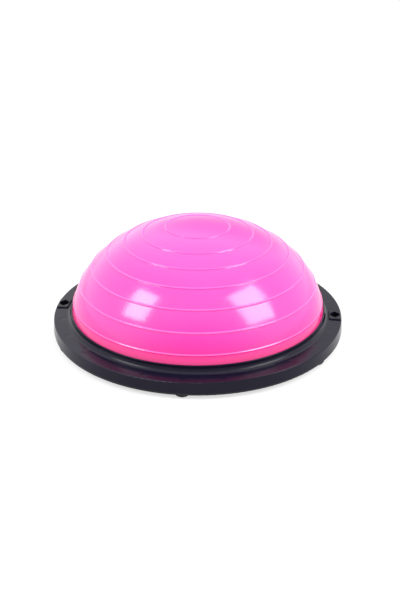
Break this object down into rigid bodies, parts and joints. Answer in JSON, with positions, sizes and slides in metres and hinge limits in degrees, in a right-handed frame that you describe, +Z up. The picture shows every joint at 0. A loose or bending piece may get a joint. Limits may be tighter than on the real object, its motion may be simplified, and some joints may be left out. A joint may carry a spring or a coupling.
{
  "type": "balance dome trainer",
  "caption": "Inflated ribbed half-ball clamped in a round platform on rubber feet, with a bayonet strap anchor at each side and an air plug underneath.",
  "frame": {"origin": "on the floor, under the centre of the dome", "axes": "+Z up out of the dome's top, +X through the right-hand strap anchor"},
  "size_m": [0.5798, 0.5798, 0.22],
  "materials": {
    "dome_pvc": "smooth glossy pink soft PVC",
    "black_plastic": "satin black moulded plastic",
    "platform_plastic": "black moulded plastic with fine grain",
    "anchor_plastic": "satin black glass-filled plastic",
    "foot_rubber": "matt black rubber",
    "zinc_steel": "zinc plated",
    "strip_steel": "black coated steel",
    "clear_pvc": "glossy pink PVC moulding",
    "plug": "smooth white plastic"
  },
  "bodies": {
    "trainer": {"dome_bladder": "dome_pvc", "valve_socket": "clear_pvc", "clamp_ring": "black_plastic", "base_plate": "platform_plastic", "anchor_socket_right": "anchor_plastic", "anchor_socket_left": "anchor_plastic", "anchor_strip_right_1": "strip_steel", "anchor_strip_right_2": "strip_steel", "anchor_strip_left_1": "strip_steel", "anchor_strip_left_2": "strip_steel", "rubber_foot_1": "foot_rubber", "rubber_foot_2": "foot_rubber", "rubber_foot_3": "foot_rubber", "rubber_foot_4": "foot_rubber", "rubber_foot_5": "foot_rubber", "rubber_foot_6": "foot_rubber", "foot_washers": "zinc_steel", "foot_screws": "zinc_steel", "ring_screws": "zinc_steel", "anchor_screws": "zinc_steel"},
    "plug": {"air_plug": "plug"}
  },
  "joints": [
    {"name": "plug_pull", "type": "slide", "parent": "trainer", "child": "plug", "axis": [0, 0, -1], "range_m": [0, 0.015]}
  ]
}
